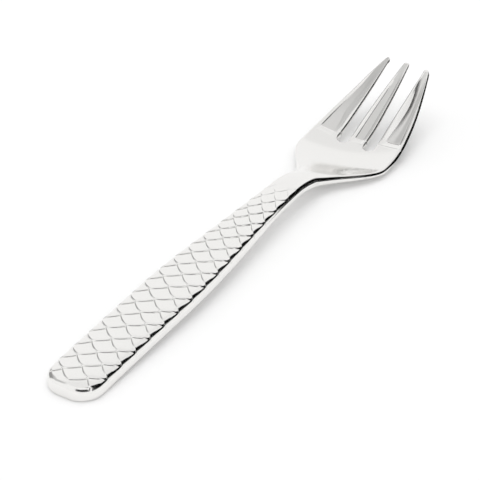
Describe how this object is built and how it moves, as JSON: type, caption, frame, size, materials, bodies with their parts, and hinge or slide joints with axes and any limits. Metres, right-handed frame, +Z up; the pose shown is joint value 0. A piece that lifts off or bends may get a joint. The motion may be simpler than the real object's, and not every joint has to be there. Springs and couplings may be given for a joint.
{
  "type": "oyster fork",
  "caption": "Small table fork for oysters: a wide flat handle with a fish-scale relief, a slim neck, a shallow bowl and short tines with sunk faces.",
  "frame": {"origin": "middle of the fork's length and width, on the surface that it rests on", "axes": "+X along the fork toward the tine tips, +Y across, +Z up from the surface that it rests on"},
  "size_m": [0.15, 0.0258, 0.0138],
  "materials": {
    "polished_steel": "mirror polished, with satin sunk faces on the tines"
  },
  "bodies": {
    "root": {"fork": "polished_steel"}
  },
  "joints": []
}
